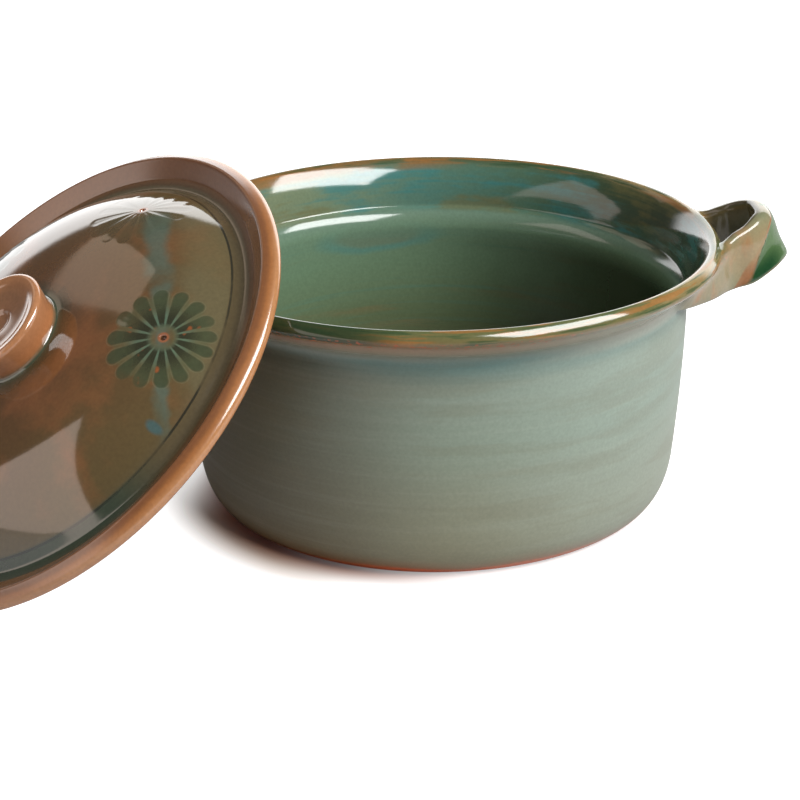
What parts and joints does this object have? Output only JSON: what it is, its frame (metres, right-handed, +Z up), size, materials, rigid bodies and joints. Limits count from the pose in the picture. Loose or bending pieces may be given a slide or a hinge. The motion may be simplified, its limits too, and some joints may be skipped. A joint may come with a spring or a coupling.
{
  "type": "cooking pot",
  "caption": "Glazed terracotta cooking pot with a flared rim, pulled strap handles and a domed lid with a knob and petal rosettes, the lid leaning on its side.",
  "frame": {"origin": "middle of the pot's base, on the surface it stands on", "axes": "+Z up through the pot's mouth, +X towards the right-hand handle, -Y towards the front; the lid leans at -X"},
  "size_m": [0.4375, 0.316, 0.1666],
  "materials": {
    "pot_glaze": "gloss",
    "lid_glaze": "gloss"
  },
  "bodies": {
    "root": {"pot": "pot_glaze", "lid": "lid_glaze"}
  },
  "joints": []
}
